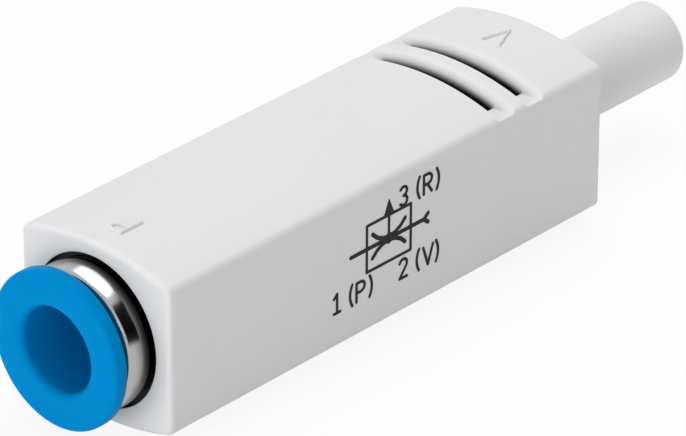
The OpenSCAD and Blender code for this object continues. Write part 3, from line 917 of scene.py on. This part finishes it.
# %% [markdown]
# ## The white room
#
# The object lies on its crowned underside on a pale table. A camera ray, a mirrored ray and a ray
# through something clear all see the room and the table as white, while the light that falls on the
# object is only as strong as it should be. The table mixes its own paper with that white glow, so
# it still takes the soft shadow.

# %% Table and world
room_light = 0.405
table_glow = 0.9


def seen_directly(tree):
    """One for camera, glossy and transmission rays, zero for the light that falls on things."""
    rays = add(tree, "LightPath")
    seen = add(tree, "Math", {"operation": "MAXIMUM"}, _0=rays.outputs["Is Camera Ray"],
               _1=rays.outputs["Is Glossy Ray"])
    return add(tree, "Math", {"operation": "MAXIMUM"}, _0=seen.outputs[0],
               _1=rays.outputs["Is Transmission Ray"]).outputs[0]


bm = bmesh.new()
bmesh.ops.create_grid(bm, x_segments=1, y_segments=1, size=1.5)
bmesh.ops.translate(bm, vec=(0, 0, cad_low.z), verts=bm.verts)
table = to_object(bm, "table")
table_paper, tree, shader, _ = new_material("white paper")
set_inputs(shader, Base_Color=linear("#F0F0F0"), Roughness=0.9)
glow_share = add(tree, "Math", {"operation": "MULTIPLY"}, _0=seen_directly(tree), _1=table_glow)
glow = add(tree, "Emission", Color=(1, 1, 1, 1), Strength=1.0)
mix = add(tree, "MixShader", _0=glow_share.outputs[0], _1=shader.outputs["BSDF"],
          _2=glow.outputs["Emission"])
output = next(n for n in tree.nodes if n.type == "OUTPUT_MATERIAL")
tree.links.new(mix.outputs["Shader"], output.inputs["Surface"])
table.data.materials.append(table_paper)

world = bpy.data.worlds.new("white room")
bpy.context.scene.world = world
world.use_nodes = True
tree = world.node_tree
tree.nodes.clear()
room = add(tree, "Background", Color=linear("#FFFFFF"), Strength=room_light)
seen_room = add(tree, "Background", Color=(1, 1, 1, 1), Strength=1.0)
mix = add(tree, "MixShader", _0=seen_directly(tree), _1=room.outputs["Background"],
          _2=seen_room.outputs["Background"])
output = add(tree, "OutputWorld")
tree.links.new(mix.outputs["Shader"], output.inputs["Surface"])
print("table at %.2f mm" % (cad_low.z / MM))

# %% [markdown]
# ## Lights
#
# Two broad lights add to the room's own and give each face its level: the top is the brightest, the
# left end comes next and the long side is the darkest. A black card stands beside the nickel
# sleeve, because metal shows its shape only by what it mirrors. It isn't seen itself and casts no
# shadow.


# %% Softboxes and a black card
def direction(azimuth, elevation):
    """The unit vector towards an azimuth and an elevation in degrees. The front is azimuth 0."""
    a, e = radians(azimuth), radians(elevation)
    return Vector((sin(a) * cos(e), -cos(a) * cos(e), sin(e)))


def softbox(name, azimuth, elevation, distance, width, height, watts):
    """An area light that faces the object from a direction. Lengths are in metres."""
    data = bpy.data.lights.new(name, "AREA")
    data.shape = "RECTANGLE"
    data.size, data.size_y, data.energy = width, height, watts
    light = in_scene(name, data)
    towards = direction(azimuth, elevation)
    light.location = Vector((0, body_length * MM / 2, 0)) + towards * distance
    light.rotation_euler = towards.to_track_quat("Z", "Y").to_euler()


def black_card(name, azimuth, elevation, distance, width, height):
    """A black card that only reflections see. Lengths are in metres."""
    card = bmesh.new()
    bmesh.ops.create_grid(card, x_segments=1, y_segments=1, size=0.5)
    bmesh.ops.scale(card, vec=(width, height, 1), verts=card.verts)
    towards = direction(azimuth, elevation)
    bmesh.ops.rotate(card, matrix=towards.to_track_quat("Z", "Y").to_matrix(), verts=card.verts)
    bmesh.ops.translate(card, vec=towards * distance, verts=card.verts)
    obj = to_object(card, name)
    obj.data.materials.append(black_velvet)
    obj.visible_camera = obj.visible_diffuse = obj.visible_shadow = False


black_velvet, tree, shader, _ = new_material("black velvet")
set_inputs(shader, Base_Color=linear("#050505"), Roughness=1.0, Specular_IOR_Level=0.0)
black_card("flag", 104, 29, distance=0.3, width=0.34, height=0.32)
softbox("overhead", 220, 72, distance=0.5, width=0.4, height=0.5, watts=1.69)
softbox("front", 9, 8, distance=0.5, width=0.5, height=0.3, watts=1.74)

# %% [markdown]
# ## Camera
#
# A long lens from far away shows the object almost without perspective, as a catalogue does. The
# camera stands in a given direction from the frame's origin, rolled by a trace, and is slid to the
# right and up, so that the object fills the picture.

# %% Camera
view_azimuth, view_elevation, view_roll = 42.494, 29.045, radians(0.246)
camera_distance, shift_right, shift_up = 425.24, 16.346, 7.415
focal_length, sensor_width = 338.3, 36.0
towards_camera = direction(view_azimuth, view_elevation)
level_right = Vector((cos(radians(view_azimuth)), sin(radians(view_azimuth)), 0))
level_up = towards_camera.cross(level_right)
right = level_right * cos(view_roll) + level_up * sin(view_roll)
up = level_up * cos(view_roll) - level_right * sin(view_roll)
camera_data = bpy.data.cameras.new("camera")
camera_data.sensor_width = sensor_width
camera_data.lens = focal_length
camera_data.clip_start = 0.01
camera = in_scene("camera", camera_data)
bpy.context.scene.camera = camera
place = (towards_camera * camera_distance + right * shift_right + up * shift_up) * MM
turn = Matrix((right, up, towards_camera)).transposed().to_4x4()
camera.matrix_world = Matrix.Translation(place) @ turn
bpy.context.scene.view_settings.view_transform = "Standard"
print("camera %.0f mm from the object" % camera_distance)
